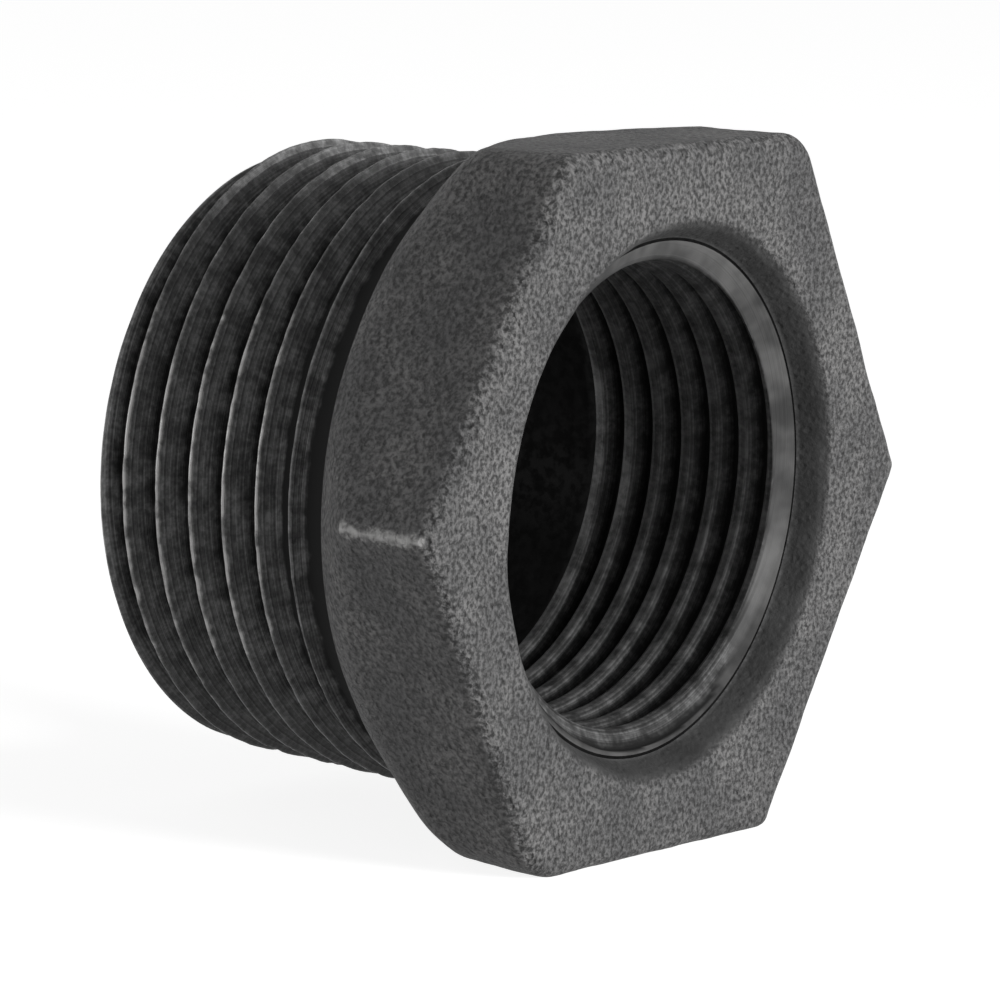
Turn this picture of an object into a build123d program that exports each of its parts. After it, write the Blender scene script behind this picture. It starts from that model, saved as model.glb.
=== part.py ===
"""Hex reducing bushing in malleable iron: 1 inch male by 3/4 inch female taper pipe thread.

One casting, machined only where it is threaded. The bore axis is the X axis, the hex face is the plane
X = 0 and the male thread points to -X, so a place along it is given as its depth behind the hex face.
Two of the six flats are level, and +Z is up. Millimetres.
"""

import os
from math import ceil, cos, radians, sin, sqrt, tan, tau

from build123d import *

# Hexagon head, as cast
ACROSS_FLATS = 37.2
FLAT_DRAFT = 2.5
RIDGE_ROUND = 1.4
FACE_ROUND = 0.8

# Round shoulder that chamfers the back of the hexagon
SHOULDER_DEPTH = 9.6
SHOULDER_RADIUS = 17.55
SHOULDER_SLOPE = 45.0
SHOULDER_ROUND = 0.4

# Taper pipe thread: right-hand, 60 degree V, 1 in 16 on the diameter
HALF_FLANK_ANGLE = 30.0
RADIUS_TAPER = 1 / 32
SPLINE_POINTS_PER_TURN = 18

# Male thread, 1 inch, 11 1/2 threads an inch: pitch radius at the small end, and the depth of one crest
# where it passes the top of the bushing
OVERALL_LENGTH = 25.4
MALE_PITCH = 25.4 / 11.5
MALE_PITCH_RADIUS = 30.826 / 2
MALE_CREST_DEPTH = 12.7
END_CHAMFER = 0.7

# Female thread, 3/4 inch, 14 threads an inch: pitch radius at the hex face, and a crest depth as above
FEMALE_PITCH = 25.4 / 14
FEMALE_PITCH_RADIUS = 25.117 / 2
FEMALE_CREST_DEPTH = 1.7
FEMALE_THREAD_END = 13.9
FEMALE_CREST_HEIGHT = 0.32

# Mouth of the bore: a cast dish, then a machined countersink down into the first thread
DISH_WIDTH = 0.9
DISH_ROUND = 0.8
SEAT_DEPTH = 1.5
SEAT_CLEARANCE = 0.06
COUNTERSINK_LENGTH = 0.8
COUNTERSINK_OVERRUN = 0.5

# Plain cored passage behind the female thread, and the wall it leaves under the small end of the male one
CHAMBER_WALL = 1.46
CHAMBER_CHAMFER = 0.4


def half_height(pitch):
    """Radial distance from the pitch line of a sharp V thread to its crest or its root."""
    return pitch / 4 / tan(radians(HALF_FLANK_ANGLE))


tap_drill_radius = FEMALE_PITCH_RADIUS - FEMALE_CREST_HEIGHT
seat_radius = FEMALE_PITCH_RADIUS + half_height(FEMALE_PITCH) + SEAT_CLEARANCE
dish_radius = seat_radius + DISH_WIDTH
chamber_radius = MALE_PITCH_RADIUS - half_height(MALE_PITCH) - CHAMBER_WALL


def turned(*outline):
    """Solid of revolution about the bore axis from an outline of (x, radius) points."""
    return revolve(make_face(Plane.XY * Polyline(*outline, close=True)), axis=Axis.X)


def helix_turn(x, radius, pitch):
    """One right-hand turn of a taper helix about the bore axis, rising in X and starting at the top."""
    length = tau * radius
    growth = pitch * RADIUS_TAPER
    shares = [step / SPLINE_POINTS_PER_TURN for step in range(SPLINE_POINTS_PER_TURN + 1)]
    points = []
    for share in shares:
        r = radius + share * growth
        points.append(Vector(x + share * pitch, -r * sin(tau * share), r * cos(tau * share)))
    return Edge.make_spline(
        points,
        tangents=[Vector(pitch, -tau * r, growth) / length for r in (radius, radius + growth)],
        parameters=[share * length for share in shares],
        scale=False,
    )


def threaded_rod(pitch, pitch_radius, crest_depth, crest_side, start_depth, end_depth):
    """Solid taper screw, or tap where crest_side is -1, that runs past the two depths it is given.

    Each turn has two flanks, ruled between helices along the crest and the root. A half-plane face and a
    helicoid, both down to the axis, close each end.
    """
    turns_before = ceil((start_depth - crest_depth) / pitch) + 1
    turns = turns_before + ceil((crest_depth - end_depth) / pitch) + 1
    first_crest_x = -crest_depth - turns_before * pitch
    corners = []
    for turn in range(turns + 2):
        for x, side in (
            (first_crest_x + turn * pitch, crest_side),
            (first_crest_x + (turn + 1 / 2) * pitch, -crest_side),
        ):
            corners.append((x, pitch_radius(-x) + side * half_height(pitch)))
    last = 2 * turns
    helices = [helix_turn(x, radius, pitch) for x, radius in corners[: last + 1]]
    skin = [Face.make_surface_from_curves(helices[i], helices[i + 1]) for i in range(last)]
    for i in (0, last):
        profile = corners[i : i + 3]
        low_x, high_x = profile[0][0], profile[-1][0]
        loop = [(low_x, 0), *profile, (high_x, 0)]
        skin.append(Face(Wire.make_polygon([Vector(x, 0, radius) for x, radius in loop])))
        axis = Edge.make_line((low_x, 0, 0), (high_x, 0, 0))
        skin.append(Face.make_surface_from_curves(axis, helices[i]))
    return Solid(Shell(skin))


def male_pitch_radius(depth):
    return MALE_PITCH_RADIUS + (OVERALL_LENGTH - depth) * RADIUS_TAPER


def female_pitch_radius(depth):
    return FEMALE_PITCH_RADIUS - depth * RADIUS_TAPER


def hexagon_head():
    """Drafted hexagon with rounded ridges, chamfered at the back by the round shoulder."""
    outline = Plane.YZ * RegularPolygon(ACROSS_FLATS / 2, 6, major_radius=False)
    prism = extrude(outline, amount=-SHOULDER_DEPTH)
    flats = prism.faces().filter_by(Axis.X, reverse=True)
    prism = draft(flats, Plane.YZ, -FLAT_DRAFT)
    ridges = prism.edges().filter_by(lambda edge: abs((edge % 0.5).X) > 0.9)
    prism = fillet(ridges, RIDGE_ROUND)
    front_rim = prism.edges().group_by(Axis.X)[-1]
    prism = fillet(front_rim, FACE_ROUND)
    clear_of_corners = ACROSS_FLATS / sqrt(3) + FACE_ROUND
    shoulder_length = (clear_of_corners - SHOULDER_RADIUS) / tan(radians(SHOULDER_SLOPE))
    prism &= turned(
        (-SHOULDER_DEPTH, 0),
        (-SHOULDER_DEPTH, SHOULDER_RADIUS),
        (-SHOULDER_DEPTH + shoulder_length, clear_of_corners),
        (FACE_ROUND, clear_of_corners),
        (FACE_ROUND, 0),
    )
    return fillet(prism.edges().filter_by(GeomType.HYPERBOLA), SHOULDER_ROUND)


def shank():
    """Male thread that starts inside the head, with the small end chamfered for its lead-in."""
    screw = threaded_rod(
        MALE_PITCH, male_pitch_radius, MALE_CREST_DEPTH, 1, OVERALL_LENGTH, SHOULDER_DEPTH
    )
    end_radius = MALE_PITCH_RADIUS + half_height(MALE_PITCH) - END_CHAMFER
    cone_length = OVERALL_LENGTH / 2
    return screw & turned(
        (0, 0),
        (-OVERALL_LENGTH, 0),
        (-OVERALL_LENGTH, end_radius),
        (-OVERALL_LENGTH + cone_length, end_radius + cone_length),
        (0, end_radius + cone_length),
    )


def mouth():
    """Dish and countersink in the hex face, as the space that they leave."""
    return turned(
        (SEAT_DEPTH, 0),
        (SEAT_DEPTH, dish_radius),
        (0, dish_radius),
        (-SEAT_DEPTH, seat_radius),
        (-SEAT_DEPTH - COUNTERSINK_LENGTH, tap_drill_radius - COUNTERSINK_OVERRUN),
        (-SEAT_DEPTH - COUNTERSINK_LENGTH, 0),
    )


def chamber():
    """Cored passage from the end of the female thread out of the small end, as the space that it leaves."""
    outside_x = -OVERALL_LENGTH - SEAT_DEPTH
    return turned(
        (-FEMALE_THREAD_END, 0),
        (-FEMALE_THREAD_END, chamber_radius),
        (-OVERALL_LENGTH + CHAMBER_CHAMFER, chamber_radius),
        (-OVERALL_LENGTH, chamber_radius + CHAMBER_CHAMFER),
        (outside_x, chamber_radius + CHAMBER_CHAMFER),
        (outside_x, 0),
    )


def tap():
    """Cutter for the female thread, from the dish to the chamber."""
    return threaded_rod(
        FEMALE_PITCH, female_pitch_radius, FEMALE_CREST_DEPTH, -1, FEMALE_THREAD_END, SEAT_DEPTH
    )


def tap_drill():
    """Taper hole that the female thread is cut from, which leaves a flat on each crest."""
    far_radius = tap_drill_radius - OVERALL_LENGTH * RADIUS_TAPER
    return turned((0, 0), (0, tap_drill_radius), (-OVERALL_LENGTH, far_radius), (-OVERALL_LENGTH, 0))


bushing = hexagon_head() + shank() - mouth() - chamber() - tap_drill() - tap()
dish_rim = bushing.edges().filter_by(GeomType.CIRCLE).group_by(Axis.X)[-1]
bushing = fillet(dish_rim, DISH_ROUND)

os.makedirs("parts", exist_ok=True)
export_step(bushing, "parts/bushing.step")
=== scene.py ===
from math import atan2, ceil, cos, floor, hypot, radians, sin, sqrt, tan, tau

import bmesh
import bpy
from mathutils import Matrix, Vector, noise


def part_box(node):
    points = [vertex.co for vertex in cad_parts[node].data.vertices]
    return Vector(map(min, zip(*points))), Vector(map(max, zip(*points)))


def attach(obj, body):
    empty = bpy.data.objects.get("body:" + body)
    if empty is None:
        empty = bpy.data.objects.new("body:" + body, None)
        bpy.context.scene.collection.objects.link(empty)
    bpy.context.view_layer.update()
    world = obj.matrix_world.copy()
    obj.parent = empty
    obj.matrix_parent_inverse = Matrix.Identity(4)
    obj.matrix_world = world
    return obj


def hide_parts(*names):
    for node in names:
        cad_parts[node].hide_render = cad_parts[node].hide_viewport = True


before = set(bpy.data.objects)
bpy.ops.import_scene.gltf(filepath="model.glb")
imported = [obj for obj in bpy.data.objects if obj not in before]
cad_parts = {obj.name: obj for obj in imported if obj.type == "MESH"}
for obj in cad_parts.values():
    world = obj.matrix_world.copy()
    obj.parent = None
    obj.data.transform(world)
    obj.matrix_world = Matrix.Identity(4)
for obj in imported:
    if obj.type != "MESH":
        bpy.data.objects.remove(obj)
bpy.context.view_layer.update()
MM = 0.001


# Camera: a long lens a third of a metre away. It looks at the hex face from the left of the bore and a
# little above it, and is rolled slightly.
CAMERA_PLACE = (196.1, -290.5, 54.8)
VIEW_DIRECTION = (-0.57345, 0.80436, -0.1554)
PICTURE_UP = (-0.1323, 0.0965, 0.9865)
SENSOR_WIDTH = 36
FOCAL_LENGTH = 248.3
NEAREST_SEEN = 0.01

view_direction = Vector(VIEW_DIRECTION).normalized()
view_right = view_direction.cross(Vector(PICTURE_UP)).normalized()
view_up = view_right.cross(view_direction)
view_turn = Matrix((view_right, view_up, -view_direction)).transposed()
lens = bpy.data.cameras.new("Camera")
lens.sensor_width = SENSOR_WIDTH
lens.lens = FOCAL_LENGTH
lens.clip_start = NEAREST_SEEN
camera = bpy.data.objects.new("Camera", lens)
camera.matrix_world = Matrix.Translation(Vector(CAMERA_PLACE) * MM) @ view_turn.to_4x4()
bpy.context.scene.collection.objects.link(camera)
bpy.context.scene.camera = camera


# Studio: a sheet of white paper that the bushing's lower flat lies on, in a white surround. Both look
# white to the camera and in reflections, and light the iron more dimly. One lamp faces the hex face, and
# a small one off to the left picks out the crests of the thread.
PAPER_RADIUS = 2.0
PAPER_GREY = 0.5
PAPER_GLOW = 0.86
SURROUND_LIGHT = 0.17


def seen_directly(nodes, links):
    """1 for what the camera, a reflection or a view through glass sees, and 0 for light on the object."""
    path = nodes.new("ShaderNodeLightPath")
    total = path.outputs["Is Camera Ray"]
    for other in ("Is Glossy Ray", "Is Transmission Ray"):
        either = nodes.new("ShaderNodeMath")
        either.operation = "MAXIMUM"
        links.new(total, either.inputs[0])
        links.new(path.outputs[other], either.inputs[1])
        total = either.outputs[0]
    return total


paper_mesh = bpy.data.meshes.new("Paper")
bm = bmesh.new()
bmesh.ops.create_circle(bm, cap_ends=True, segments=64, radius=PAPER_RADIUS)
bmesh.ops.translate(bm, vec=(0, 0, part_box("bushing")[0].z), verts=bm.verts)
bm.to_mesh(paper_mesh)
bm.free()
paper = bpy.data.objects.new("Paper", paper_mesh)
bpy.context.scene.collection.objects.link(paper)

white_paper = bpy.data.materials.new("White paper")
white_paper.use_nodes = True
nodes, links = white_paper.node_tree.nodes, white_paper.node_tree.links
surface = nodes["Principled BSDF"]
surface.inputs["Base Color"].default_value = (PAPER_GREY, PAPER_GREY, PAPER_GREY, 1)
surface.inputs["Roughness"].default_value = 0.9
surface.inputs["Specular IOR Level"].default_value = 0.0
surface.inputs["Emission Color"].default_value = (1, 1, 1, 1)
glow = nodes.new("ShaderNodeMath")
glow.operation = "MULTIPLY"
glow.inputs[1].default_value = PAPER_GLOW
links.new(seen_directly(nodes, links), glow.inputs[0])
links.new(glow.outputs[0], surface.inputs["Emission Strength"])
paper_mesh.materials.append(white_paper)

surround = bpy.data.worlds.new("Surround")
bpy.context.scene.world = surround
surround.use_nodes = True
nodes, links = surround.node_tree.nodes, surround.node_tree.links
background = nodes["Background"]
background.inputs["Color"].default_value = (1, 1, 1, 1)
brightness = nodes.new("ShaderNodeMapRange")
brightness.inputs["To Min"].default_value = SURROUND_LIGHT
brightness.inputs["To Max"].default_value = 1.0
links.new(seen_directly(nodes, links), brightness.inputs["Value"])
links.new(brightness.outputs["Result"], background.inputs["Strength"])


def round_lamp(name, place, size, power):
    """A soft round lamp that faces the bushing."""
    lamp = bpy.data.lights.new(name, "AREA")
    lamp.shape = "DISK"
    lamp.size = size
    lamp.energy = power
    holder = bpy.data.objects.new(name, lamp)
    holder.location = place
    holder.rotation_euler = (-Vector(place)).to_track_quat("-Z", "Y").to_euler()
    bpy.context.scene.collection.objects.link(holder)


round_lamp("Face_lamp", place=(0.58, 0.08, 0.14), size=0.2, power=4.3)
round_lamp("Crest_lamp", place=(-0.36, -0.6, 0.07), size=0.05, power=1.35)

bpy.context.scene.view_settings.view_transform = "Standard"


# Bushing: one malleable iron casting with a hexagon head, left as it came from the sand. The outside
# taper thread, the countersink and the inside taper thread are cut into it. All of it goes into one
# mesh, in millimetres with the hex face at x = 0, and every depth is measured behind that face.
LENGTH = 25.4
SHOULDER_DEPTH = 9.6
LEDGE_DEPTH = 1.5
RADIUS_TAPER = 1 / 32
NEARLY = 1e-3

bm = bmesh.new()
wear_and_highlight = bm.verts.layers.float.new("wear_and_highlight")
height_and_shade_mark = bm.verts.layers.float.new("thread_height_and_shade")
dished = bm.verts.layers.float.new("dished")
countersunk = bm.verts.layers.float.new("countersunk")


def turn(profile, steps, pitch=0.0):
    """Spins (depth, radius) points once about the bore axis, rising by a pitch. Returns the vertices."""
    before = set(bm.verts)
    line = [bm.verts.new((-depth, 0, radius)) for depth, radius in profile]
    edges = [bm.edges.new(pair) for pair in zip(line, line[1:])]
    bmesh.ops.spin(
        bm,
        geom=line + edges,
        axis=(1, 0, 0),
        cent=(0, 0, 0),
        dvec=(pitch / steps, 0, 0),
        angle=tau,
        steps=steps,
        use_merge=pitch == 0,
    )
    return [v for v in bm.verts if v not in before]


def clamped(value, low=0.0, high=1.0):
    return min(max(value, low), high)


# Head: the dish, the hex face, the rim and the side are one line, spun round and then pushed out to the
# hexagon. More of the columns go to the corners, where the outline turns. The sand left every corner with
# a round of its own, and the shoulder was turned a little off the axis of the threads.
ACROSS_FLATS = 37.2
FLAT_DRAFT = 2.5
CORNER_SPACING = radians(60)
CORNER_ROUNDS = (0.4, 2.6, 2.4, 0.5, 4.2, 0.9)
LEAST_ROUND = 0.35
RIM_ROUND = 0.9
SHOULDER_RADIUS = 17.55
SHOULDER_OFF_AXIS = (0.2, 0.4)
SHOULDER_BLEND = 0.28
DISH_RADIUS = 14.35
LEDGE_OUTER = 13.56
LIP_ROUND = 0.8

# How finely the head is divided: round the axis, with a crowding at the corners, over each rounded edge,
# and along the dish, face and side. The band of the face by the rim keeps the hexagon's outline.
HEAD_STEPS = 360
CORNER_CROWDING = 0.7
ROUND_PARTS = 6
DISH_PARTS = 5
FACE_PARTS = 9
SIDE_PARTS = 46
HEXAGON_BAND = 1.6

# Where the head is rubbed, with one amount for each ridge, and where the dish's smoother skin begins
RIDGE_WEAR = (0.5, 0.35, 0.2, 1.0, 0.35, 0.5)
RIDGE_WEAR_WIDTH = 1.1
RIM_WEAR = 0.45
SHOULDER_WEAR = 0.5
DISH_EDGE = 0.1
DISH_FADE = 0.5

# Swells that the sand left, as (height, spread), which fade out close to a cut surface
SAND_SWELLS = ((0.07, 3.4), (0.02, 1.1), (0.014, 0.55))
SWELL_FADE = 0.6


def nearest_corner(angle):
    """The hexagon's nearest corner, counted round from the first, and the angle that lies between."""
    corner = floor(angle / CORNER_SPACING + 0.5)
    return corner % 6, abs(angle - corner * CORNER_SPACING)


def hexagon_radius(angle, inset):
    """Distance from the axis to the outline of the rounded hexagon, drawn in by an inset."""
    corner, from_corner = nearest_corner(angle)
    half_flats = ACROSS_FLATS / 2 - inset
    corner_round = max(CORNER_ROUNDS[corner] - inset, LEAST_ROUND)
    centre = (half_flats - corner_round) / cos(CORNER_SPACING / 2)
    tangent_angle = CORNER_SPACING / 2 - atan2(centre / 2, half_flats)
    if from_corner > tangent_angle:
        return half_flats / cos(CORNER_SPACING / 2 - from_corner)
    reach = corner_round**2 - (centre * sin(from_corner)) ** 2
    return centre * cos(from_corner) + sqrt(max(reach, 0))


def blended_min(a, b, width):
    """The lesser of two distances, rounded over where they meet."""
    overlap = max(width * 4 - abs(a - b), 0) / (width * 4)
    return min(a, b) - overlap * overlap * width


def between(start, end, count):
    """The points that divide a straight run into a count of equal parts, without its ends."""
    first, last = Vector(start), Vector(end)
    return [tuple(first.lerp(last, i / count)) for i in range(1, count)]


half_flats = ACROSS_FLATS / 2
dish_slope = atan2(LEDGE_DEPTH, DISH_RADIUS - LEDGE_OUTER)
lip_centre = DISH_RADIUS + LIP_ROUND * tan(dish_slope / 2)
lip = []
rim = []
for i in range(ROUND_PARTS + 1):
    lip_turn = dish_slope * (1 - i / ROUND_PARTS)
    lip.append((LIP_ROUND * (1 - cos(lip_turn)), lip_centre - LIP_ROUND * sin(lip_turn)))
    rim_turn = radians(90) * i / ROUND_PARTS
    rim.append((RIM_ROUND * (1 - cos(rim_turn)), half_flats - RIM_ROUND * (1 - sin(rim_turn))))
ledge = (LEDGE_DEPTH, LEDGE_OUTER)
back = (SHOULDER_DEPTH, half_flats)
head_line = [ledge, *between(ledge, lip[0], DISH_PARTS), *lip]
head_line += [*between(lip[-1], rim[0], FACE_PARTS), *rim]
head_line += [*between(rim[-1], back, SIDE_PARTS), back]
head = turn(head_line, HEAD_STEPS)

for v in head:
    depth, nominal = -v.co.x, hypot(v.co.y, v.co.z)
    angle = atan2(v.co.z, v.co.y)
    angle -= CORNER_CROWDING * sin(6 * angle) / 6
    inset = half_flats - nominal
    radius = nominal
    if nominal > lip_centre:
        drawn_in = min(inset, HEXAGON_BAND) + depth * tan(radians(FLAT_DRAFT))
        radius = hexagon_radius(angle, drawn_in)
        if inset > HEXAGON_BAND:
            share = (nominal - lip_centre) / (half_flats - HEXAGON_BAND - lip_centre)
            radius = lip_centre + share * (radius - lip_centre)
    rim_wear = 0
    if max(inset, depth) < RIM_ROUND:
        rim_wear = 1 - abs(inset - depth) / RIM_ROUND
    ridge_wear = 0
    if depth > RIM_ROUND / 3 and inset < RIM_ROUND:
        ridge, from_ridge = nearest_corner(angle)
        ridge_wear = RIDGE_WEAR[ridge] * (1 - from_ridge * radius / RIDGE_WEAR_WIDTH)
    shoulder_wear = 0
    if depth > SHOULDER_DEPTH / 4:
        across, up = SHOULDER_OFF_AXIS
        shoulder = SHOULDER_RADIUS + SHOULDER_DEPTH - depth + across * cos(angle) + up * sin(angle)
        shoulder_wear = SHOULDER_WEAR - abs(radius - shoulder)
        if radius > shoulder:
            ridge_wear = 0
        radius = blended_min(radius, shoulder, SHOULDER_BLEND)
    v[wear_and_highlight] = clamped(max(RIM_WEAR * rim_wear, ridge_wear, shoulder_wear))
    v[dished] = clamped((lip_centre - DISH_EDGE - nominal) / DISH_FADE)
    v.co = (-depth, radius * cos(angle), radius * sin(angle))

bm.normal_update()
for v in head:
    depth, radius = -v.co.x, hypot(v.co.y, v.co.z)
    from_cuts = clamped(min(radius - LEDGE_OUTER, SHOULDER_DEPTH - depth) / SWELL_FADE)
    for swell, spread in SAND_SWELLS:
        v.co += v.normal * swell * from_cuts * noise.noise(v.co / spread)


# Threads: a V line is spun through one turn of its helix, copied turn by turn and trimmed where the
# thread ends. Each vertex remembers how high it stands in the thread, from 0 at the root to 1 at the
# crest.
HALF_FLANK_ANGLE = 30
CREST_FLAT = 0.04
ROOT_FLAT = 0.08
THREAD_SAMPLES = (-0.5, -0.46, -0.41, -0.33, -0.24, -0.15, -0.08, -0.045, -0.02)
MALE_STEPS = 216
FEMALE_STEPS = 160


def half_height(pitch, flat):
    """Height from the pitch line to a crest or root that has a flat of this share of the pitch."""
    return (0.5 - flat) * pitch / 2 / tan(radians(HALF_FLANK_ANGLE))


def with_links(verts):
    """Vertices with the edges and faces on them, each once."""
    edges = dict.fromkeys(edge for v in verts for edge in v.link_edges)
    faces = dict.fromkeys(face for v in verts for face in v.link_faces)
    return [*verts, *edges, *faces]


def threaded(pitch, pitch_radius, crest_depth, crest_side, start, end, steps):
    """Spins a thread from the start depth up to the end depth and merges each turn with the next.

    Its crests point outwards where crest_side is 1, and inwards where it is -1.
    """
    turns_before = ceil((start - crest_depth) / pitch) + 1
    turns = turns_before + ceil((crest_depth - end) / pitch) + 1
    first = crest_depth + turns_before * pitch
    shares = [*THREAD_SAMPLES, 0.0, *(-share for share in reversed(THREAD_SAMPLES))]
    crest, root = half_height(pitch, CREST_FLAT), half_height(pitch, ROOT_FLAT)
    profile = []
    for share in shares:
        from_flat = max(abs(share) - CREST_FLAT / 2, 0)
        height = max(crest - from_flat * pitch / tan(radians(HALF_FLANK_ANGLE)), -root)
        profile.append((first - share * pitch, pitch_radius + crest_side * height))
    verts = turn(profile, steps, pitch)
    for v in verts:
        height = crest_side * (hypot(v.co.y, v.co.z) - pitch_radius)
        v[height_and_shade_mark] = (height + root) / (crest + root)
    one_turn = with_links(verts)
    for later in range(1, turns):
        copy = bmesh.ops.duplicate(bm, geom=one_turn)
        copied = [item for item in copy["geom"] if isinstance(item, bmesh.types.BMVert)]
        bmesh.ops.translate(bm, vec=(later * pitch, 0, 0), verts=copied)
        verts += copied
    bmesh.ops.remove_doubles(bm, verts=verts, dist=NEARLY)
    return [v for v in verts if v.is_valid]


def cut_off(verts, depth, keep_deeper):
    """Trims a thread at a depth. The cut is exact, so that it leaves one whole loop."""
    bmesh.ops.bisect_plane(
        bm,
        geom=with_links([v for v in verts if v.is_valid]),
        dist=1e-6,
        plane_co=(-depth, 0, 0),
        plane_no=(1, 0, 0),
        clear_outer=keep_deeper,
        clear_inner=not keep_deeper,
    )


# Outside thread: cut with a die, so it is chamfered at the small end and washes out towards the head. Its
# crests are torn and rubbed all round, with a painted highlight added on the two sides. The neck by the
# shoulder is painted dark, as the shoulder's shadow.
MALE_PITCH = 25.4 / 11.5
MALE_PITCH_RADIUS = 15.413
MALE_CREST_DEPTH = 12.7
END_CHAMFER = 0.8
WASHOUT_START = 15.5
WASHOUT_END = 10.4
WASHOUT_RISE = 1.25
WASHED_HEIGHT = 0.6
NECK_SHADOW_FADE = 1.3
NECK_SHADOW_LEAST = 0.1

# Crests: where they begin, as a share of the thread's height, and how deeply they are torn, with the tears
# as (share, fineness). The rub is one amount all round, a painted highlight adds another on the sides, and
# the washout takes both.
CREST_START = 0.76
CREST_BLEND = 0.2
CREST_TEAR = 0.055
TEARS = ((1.0, 1.1), (0.7, 2.7))
LEAST_TEAR = -0.3
ROUND_RUB = 0.55
SIDE_HIGHLIGHT = 0.45
WASHED_RUB = 1.2

male = threaded(
    MALE_PITCH, MALE_PITCH_RADIUS, MALE_CREST_DEPTH, 1, LENGTH, SHOULDER_DEPTH, MALE_STEPS
)
male_root = half_height(MALE_PITCH, ROOT_FLAT)
end_radius = MALE_PITCH_RADIUS + half_height(MALE_PITCH, CREST_FLAT) - END_CHAMFER
for v in male:
    depth, radius = -v.co.x, hypot(v.co.y, v.co.z)
    height = radius - MALE_PITCH_RADIUS
    washed = clamped((WASHOUT_START - depth) / (WASHOUT_START - WASHOUT_END))
    washed_root = -male_root + WASHOUT_RISE * washed
    if washed_root > height:
        v[height_and_shade_mark] *= WASHED_HEIGHT
        height = washed_root
    crest_share = clamped((v[height_and_shade_mark] - CREST_START) / CREST_BLEND)
    tear = sum(share * noise.noise(v.co * fineness) for share, fineness in TEARS)
    height -= CREST_TEAR * crest_share * max(tear, LEAST_TEAR)
    # Painted highlight: the rub is raised on the two sides, where the crests face sideways.
    rub_and_highlight = ROUND_RUB + SIDE_HIGHLIGHT * cos(2 * atan2(v.co.z, v.co.y))
    v[wear_and_highlight] = crest_share * rub_and_highlight * clamped(WASHED_RUB - WASHED_RUB * washed)
    # Painted shadow of the shoulder: the thread height is lowered near it, so the roots' painted shade
    # darkens the neck.
    v[height_and_shade_mark] *= clamped((depth - SHOULDER_DEPTH) / NECK_SHADOW_FADE - 1, NECK_SHADOW_LEAST)
    new_radius = MALE_PITCH_RADIUS + height + (LENGTH - depth) * RADIUS_TAPER
    new_radius = min(new_radius, end_radius + max(LENGTH - depth, 0))
    v.co = (-depth, v.co.y * new_radius / radius, v.co.z * new_radius / radius)
cut_off(male, LENGTH, keep_deeper=False)
cut_off(male, SHOULDER_DEPTH, keep_deeper=True)


# Passage: the bore that a core left in the iron, from the small end up to the last turn of the inside
# thread. It is a little wider than that thread's root, and chamfered at the small end.
FEMALE_THREAD_END = 13.9
PASSAGE_RADIUS = 13.0
PASSAGE_CHAMFER = 0.4
PASSAGE_PARTS = 14

passage_mouth = (LENGTH, PASSAGE_RADIUS + PASSAGE_CHAMFER)
passage_edge = (LENGTH - PASSAGE_CHAMFER, PASSAGE_RADIUS)
passage_top = (FEMALE_THREAD_END, PASSAGE_RADIUS)
passage_run = between(passage_edge, passage_top, PASSAGE_PARTS)
turn([passage_mouth, passage_edge, *passage_run, passage_top], FEMALE_STEPS)


# Inside thread: cut by a taper tap in a drilled hole, so its crests are flat. The countersink at the
# mouth cuts into its first turn.
FEMALE_PITCH = 25.4 / 14
FEMALE_PITCH_RADIUS = 12.5585
FEMALE_CREST_DEPTH = 1.7
FEMALE_CREST_HEIGHT = 0.32
FEMALE_CREST_RUB = 0.12
COUNTERSINK_RADIUS = 13.4
COUNTERSINK_SLOPE = 1.7 / 0.8

female = threaded(
    FEMALE_PITCH,
    FEMALE_PITCH_RADIUS,
    FEMALE_CREST_DEPTH,
    -1,
    FEMALE_THREAD_END,
    LEDGE_DEPTH,
    FEMALE_STEPS,
)
for v in female:
    depth, radius = -v.co.x, hypot(v.co.y, v.co.z)
    height = radius - FEMALE_PITCH_RADIUS
    v[wear_and_highlight] = clamped((-height - FEMALE_CREST_HEIGHT + FEMALE_CREST_RUB) / FEMALE_CREST_RUB)
    height = max(height, -FEMALE_CREST_HEIGHT)
    new_radius = FEMALE_PITCH_RADIUS + height - depth * RADIUS_TAPER
    countersink = COUNTERSINK_RADIUS - (depth - LEDGE_DEPTH) * COUNTERSINK_SLOPE
    if countersink > new_radius:
        v[countersunk] = 1
        new_radius = countersink
    v.co = (-depth, v.co.y * new_radius / radius, v.co.z * new_radius / radius)
cut_off(female, FEMALE_THREAD_END, keep_deeper=False)
cut_off(female, LEDGE_DEPTH, keep_deeper=True)


# The flat rings that join these surfaces: behind the shoulder, at the small end, on the ledge under the
# dish and at the top of the passage. Then each face gets the finish of its own surface.
def close_ring(depth):
    """Fills the ring between the two open loops that lie at a depth."""
    loops = [
        edge
        for edge in bm.edges
        if edge.is_boundary and all(abs(v.co.x + depth) < NEARLY for v in edge.verts)
    ]
    bmesh.ops.triangle_fill(bm, use_beauty=True, use_dissolve=False, edges=loops)


for depth in (SHOULDER_DEPTH, LENGTH, LEDGE_DEPTH, FEMALE_THREAD_END):
    close_ring(depth)
bmesh.ops.recalc_face_normals(bm, faces=bm.faces)

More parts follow.
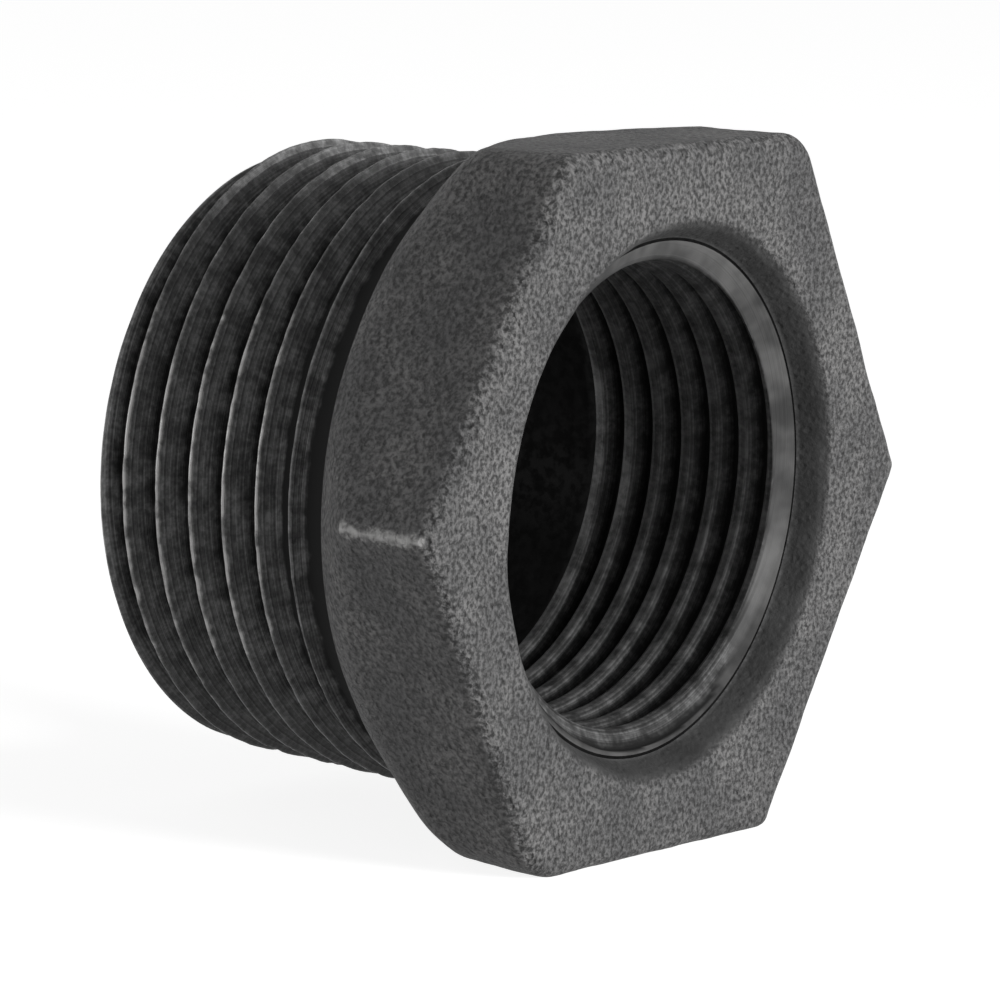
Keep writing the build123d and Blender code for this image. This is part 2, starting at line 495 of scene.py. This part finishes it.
SAND_CAST, CUT_THREAD, TAPPED_THREAD, PASSAGE = range(4)
for face in bm.faces:
    middle = face.calc_center_median()
    depth, radius = -middle.x, hypot(middle.y, middle.z)
    # The narrow ledge under the dish takes the passage's painted shade, as a shadow line.
    if depth < LEDGE_DEPTH + NEARLY and radius < LEDGE_OUTER:
        face.material_index = PASSAGE
    elif radius > LEDGE_OUTER and depth < SHOULDER_DEPTH + NEARLY:
        face.material_index = SAND_CAST
    elif radius > PASSAGE_RADIUS + PASSAGE_CHAMFER and depth > SHOULDER_DEPTH:
        face.material_index = CUT_THREAD
    elif depth > FEMALE_THREAD_END - NEARLY:
        face.material_index = PASSAGE
    else:
        face.material_index = TAPPED_THREAD
    face.smooth = True
bmesh.ops.scale(bm, vec=(MM, MM, MM), verts=bm.verts)
mesh = bpy.data.meshes.new("Hex_bushing")
bm.to_mesh(mesh)
bm.free()
bushing = bpy.data.objects.new("Hex_bushing", mesh)
bpy.context.scene.collection.objects.link(bushing)


# Grain and wear: the sand's grain covers all of the casting, more faintly on the cut surfaces, and what
# sticks out is rubbed down to grey metal. Both are node groups that the finishes below use.
def new_group(name, inputs, outputs):
    """A shader node group with float inputs and outputs, what it is given and what it makes."""
    group = bpy.data.node_groups.new(name, "ShaderNodeTree")
    for socket in inputs:
        group.interface.new_socket(socket, in_out="INPUT", socket_type="NodeSocketFloat")
    for socket in outputs:
        group.interface.new_socket(socket, in_out="OUTPUT", socket_type="NodeSocketFloat")
    given = group.nodes.new("NodeGroupInput").outputs
    made = group.nodes.new("NodeGroupOutput").inputs
    return group, given, made


def node_of(tree, kind, inputs=(), **settings):
    """Adds a node, sets it up, and sets or links its inputs, given as (socket, value or output)."""
    node = tree.nodes.new("ShaderNode" + kind)
    for name, value in settings.items():
        setattr(node, name, value)
    for socket, value in inputs:
        if isinstance(value, bpy.types.NodeSocket):
            tree.links.new(value, node.inputs[socket])
        else:
            node.inputs[socket].default_value = value
    return node


def math_of(tree, operation, *values):
    """What a Math node makes of its values."""
    return node_of(tree, "Math", list(enumerate(values)), operation=operation).outputs[0]


def noise_of(tree, place, size, detail):
    """Noise with lumps of a size in metres."""
    inputs = [
        ("Vector", place),
        ("Scale", math_of(tree, "DIVIDE", 1.0, size)),
        ("Detail", detail),
        ("Roughness", 0.6),
    ]
    return node_of(tree, "TexNoise", inputs).outputs["Fac"]


def ramp_of(tree, value, low=0.0, high=1.0, to_low=0.0, to_high=1.0):
    """A value stretched smoothly from one range onto another."""
    inputs = [
        ("Value", value),
        ("From Min", low),
        ("From Max", high),
        ("To Min", to_low),
        ("To Max", to_high),
    ]
    ramp = node_of(tree, "MapRange", inputs, interpolation_type="SMOOTHSTEP")
    return ramp.outputs["Result"]


def mix_of(tree, share, first, second, kind="MIX"):
    """One colour laid over another."""
    inputs = [(0, share), (6, first), (7, second)]
    return node_of(tree, "Mix", inputs, data_type="RGBA", blend_type=kind).outputs[2]


# Sand grain: fine noise with pits between, in paler and darker patches. The pits are spaced in grain
# sizes, the shares are of the relief, and each range of the noise is stretched to go from nothing to full.
PIT_SPACING = 0.55
GRAIN_SHARE = 0.65
PIT_SHARE = 0.35
GRAIN_RANGE = (0.34, 0.68)
PATCH_RANGE = (0.35, 0.68)
PIT_RANGE = (0.1, 0.5)

grain_group, given, made = new_group(
    "Sand grain", ["Size", "Patch Size"], ["Grain", "Patches", "Height"]
)
place = node_of(grain_group, "TexCoord").outputs["Object"]
fine = noise_of(grain_group, place, given["Size"], detail=2.0)
patches = noise_of(grain_group, place, given["Patch Size"], detail=3.0)
pit_scale = math_of(grain_group, "DIVIDE", PIT_SPACING, given["Size"])
pits = node_of(grain_group, "TexVoronoi", [("Vector", place), ("Scale", pit_scale)])
pitted = ramp_of(grain_group, pits.outputs["Distance"], *PIT_RANGE)
relief = math_of(grain_group, "MULTIPLY", fine, GRAIN_SHARE)
relief = math_of(grain_group, "MULTIPLY_ADD", pitted, PIT_SHARE, relief)
grain_group.links.new(ramp_of(grain_group, fine, *GRAIN_RANGE), made["Grain"])
grain_group.links.new(ramp_of(grain_group, patches, *PATCH_RANGE), made["Patches"])
grain_group.links.new(relief, made["Height"])

# Rubbed edges: the wear, with the painted highlight that it carries on the outside thread's crests, is
# added to noise, so that it breaks up into scraps where there is less of it.
RUBBED_RANGE = (0.88, 1.25)

wear_group, given, made = new_group("Rubbed edges", ["Worn", "Size", "Amount"], ["Rubbed"])
place = node_of(wear_group, "TexCoord").outputs["Object"]
breaks = noise_of(wear_group, place, given["Size"], detail=4.0)
wear = math_of(wear_group, "MULTIPLY", given["Worn"], given["Amount"])
broken_wear = math_of(wear_group, "ADD", wear, breaks)
wear_group.links.new(ramp_of(wear_group, broken_wear, *RUBBED_RANGE), made["Rubbed"])

# Marks left by the cutting edge of a die or tap: fine lines that follow the cut, smeared here and there,
# and a mask for the root, where painted shade darkens the thread.
SMEAR_SIZE = 0.0011
ROOT_SHADE_SMEAR = 0.4
LINE_RANGE = (0.16, 0.38)
ROOT_SHADE_RANGE = (0.66, 0.26)

cut_group, given, made = new_group(
    "Cutting marks", ["Thread Height", "Line Count"], ["Lines", "Root Shade", "Height"]
)
place = node_of(cut_group, "TexCoord").outputs["Object"]
along = node_of(cut_group, "CombineXYZ", [("X", given["Thread Height"])]).outputs[0]
line_inputs = [("Vector", along), ("Scale", given["Line Count"]), ("Detail", 2.0)]
lines = node_of(cut_group, "TexNoise", line_inputs).outputs["Fac"]
smears = noise_of(cut_group, place, SMEAR_SIZE, detail=3.0)
smeared = math_of(cut_group, "MULTIPLY", lines, smears)
# Painted shade: the roots are darkened through this mask, further where the smears reach.
root_shading = math_of(cut_group, "MULTIPLY_ADD", smears, ROOT_SHADE_SMEAR, given["Thread Height"])
cut_group.links.new(ramp_of(cut_group, smeared, *LINE_RANGE), made["Lines"])
cut_group.links.new(ramp_of(cut_group, root_shading, *ROOT_SHADE_RANGE), made["Root Shade"])
cut_group.links.new(lines, made["Height"])


def new_finish(name, specular):
    """A material with its node tree and shader, and its place among the bushing's finishes."""
    finish = bpy.data.materials.new(name)
    finish.use_nodes = True
    tree = finish.node_tree
    surface = tree.nodes["Principled BSDF"]
    surface.inputs["Specular IOR Level"].default_value = specular
    mesh.materials.append(finish)
    return tree, surface


def placed_group(tree, group, **values):
    """Places a node group and sets or links its inputs, named with underscores for spaces."""
    inputs = [(name.replace("_", " "), value) for name, value in values.items()]
    return node_of(tree, "Group", inputs, node_tree=group).outputs


def mark(tree, name):
    """What a vertex attribute of the bushing holds."""
    return node_of(tree, "Attribute", attribute_name=name).outputs["Fac"]


def rubbed_by(tree, size, amount):
    """Where the metal is rubbed bare, with the outside thread's painted crest highlight, in scraps of a
    size in metres.
    """
    return placed_group(tree, wear_group, Worn=mark(tree, "wear_and_highlight"), Size=size, Amount=amount)["Rubbed"]


def bumped(tree, surface, height, depth):
    """Lets a height, in metres at its full value, tilt the surface."""
    bump = node_of(tree, "Bump", [("Height", height), ("Distance", depth), ("Strength", 1.0)])
    tree.links.new(bump.outputs["Normal"], surface.inputs["Normal"])


def grey(level):
    return (level, level, level, 1)


# Sand-cast iron: the head. Charcoal scale with a fine sandy grain, mottled in patches, darker and
# smoother in the dish, and rubbed grey along the ridges, the rim and the shoulder.
SCALE_DARK = grey(0.018)
SCALE_PALE = (0.17, 0.169, 0.168, 1)
SCALE_DULL = (0.72, 0.72, 0.73, 1)
SCALE_BRIGHT = (1.15, 1.14, 1.14, 1)
DISH_DARK = grey(0.022)
DISH_PALE = grey(0.044)
DISH_RELIEF = 0.25
RIDGE_METAL = (0.44, 0.435, 0.43, 1)

tree, surface = new_finish("Sand-cast iron", specular=0.3)
grain = placed_group(tree, grain_group, Size=0.00027, Patch_Size=0.0045)
dish = mark(tree, "dished")
scale = mix_of(tree, grain["Grain"], SCALE_DARK, SCALE_PALE)
mottled = mix_of(tree, grain["Patches"], SCALE_DULL, SCALE_BRIGHT)
colour = mix_of(tree, 1.0, scale, mottled, "MULTIPLY")
colour = mix_of(tree, dish, colour, mix_of(tree, grain["Patches"], DISH_DARK, DISH_PALE))
colour = mix_of(tree, rubbed_by(tree, size=0.0005, amount=0.7), colour, RIDGE_METAL)
tree.links.new(colour, surface.inputs["Base Color"])
roughness = ramp_of(tree, grain["Grain"], to_low=0.62, to_high=0.82)
tree.links.new(roughness, surface.inputs["Roughness"])
smoothed = ramp_of(tree, dish, to_low=1.0, to_high=DISH_RELIEF)
bumped(tree, surface, math_of(tree, "MULTIPLY", grain["Height"], smoothed), depth=0.0003)


# Cut thread: the outside thread. Dark, oiled flanks with lines from the die, roots painted black as shade,
# and crests torn and rubbed to bare metal, with a painted highlight added on the two sides.
FLANK_DARK = grey(0.1)
FLANK_PALE = grey(0.3)
ROOT_SHADE_BLACK = grey(0.004)
CREST_METAL = (0.42, 0.415, 0.41, 1)
CREST_METALLIC = 0.35
FLANK_DULL = grey(0.7)
FLANK_BRIGHT = grey(1.2)


def thread_colour(tree, grain, cut, dark, pale, root):
    """Flanks between dark and pale, mottled with the casting's grain, and roots painted dark as shade."""
    flank = mix_of(tree, cut["Lines"], dark, pale)
    mottled = mix_of(tree, grain["Grain"], FLANK_DULL, FLANK_BRIGHT)
    return mix_of(tree, cut["Root Shade"], mix_of(tree, 1.0, flank, mottled, "MULTIPLY"), root)


tree, surface = new_finish("Cut thread", specular=0.14)
grain = placed_group(tree, grain_group, Size=0.00028, Patch_Size=0.004)
cut = placed_group(tree, cut_group, Thread_Height=mark(tree, "thread_height_and_shade"), Line_Count=14.0)
# On the sides this bare metal is also a painted highlight.
rubbed_and_highlit = rubbed_by(tree, size=0.0009, amount=0.68)
colour = thread_colour(tree, grain, cut, FLANK_DARK, FLANK_PALE, ROOT_SHADE_BLACK)
colour = mix_of(tree, rubbed_and_highlit, colour, CREST_METAL)
tree.links.new(colour, surface.inputs["Base Color"])
roughness = ramp_of(tree, cut["Root Shade"], to_low=0.42, to_high=0.8)
tree.links.new(roughness, surface.inputs["Roughness"])
tree.links.new(ramp_of(tree, rubbed_and_highlit, to_high=CREST_METALLIC), surface.inputs["Metallic"])
bumped(tree, surface, cut["Height"], depth=0.00005)


# Tapped thread: the inside thread, darker than the outside one, with dull grey crests. The countersink at
# its mouth has patches of scale and cut metal.
TAPPED_DARK = grey(0.03)
TAPPED_PALE = grey(0.13)
TAPPED_ROOT_SHADE = grey(0.005)
TAPPED_CREST = grey(0.17)
COUNTERSINK_DARK = grey(0.032)
COUNTERSINK_PALE = (0.105, 0.104, 0.103, 1)

tree, surface = new_finish("Tapped thread", specular=0.15)
grain = placed_group(tree, grain_group, Size=0.00028, Patch_Size=0.004)
cut = placed_group(tree, cut_group, Thread_Height=mark(tree, "thread_height_and_shade"), Line_Count=10.0)
colour = thread_colour(tree, grain, cut, TAPPED_DARK, TAPPED_PALE, TAPPED_ROOT_SHADE)
colour = mix_of(tree, rubbed_by(tree, size=0.0013, amount=0.45), colour, TAPPED_CREST)
countersink = mix_of(tree, grain["Patches"], COUNTERSINK_DARK, COUNTERSINK_PALE)
colour = mix_of(tree, mark(tree, "countersunk"), colour, countersink)
tree.links.new(colour, surface.inputs["Base Color"])
roughness = ramp_of(tree, cut["Root Shade"], to_low=0.5, to_high=0.8)
tree.links.new(roughness, surface.inputs["Roughness"])
bumped(tree, surface, cut["Height"], depth=0.00004)


# Cored passage: left as cast behind the inside thread, painted near black as the deep shade inside the
# bore. The narrow ledge under the dish gets the same black, as a painted shadow line.
PASSAGE_SHADE_DARK = grey(0.0015)
PASSAGE_SHADE_PALE = grey(0.004)

tree, surface = new_finish("Cored passage", specular=0.03)
grain = placed_group(tree, grain_group, Size=0.0006, Patch_Size=0.005)
colour = mix_of(tree, grain["Patches"], PASSAGE_SHADE_DARK, PASSAGE_SHADE_PALE)
tree.links.new(colour, surface.inputs["Base Color"])
roughness = ramp_of(tree, grain["Grain"], to_low=0.5, to_high=0.7)
tree.links.new(roughness, surface.inputs["Roughness"])
bumped(tree, surface, grain["Height"], depth=0.00004)

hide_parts("bushing")
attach(bushing, "root")
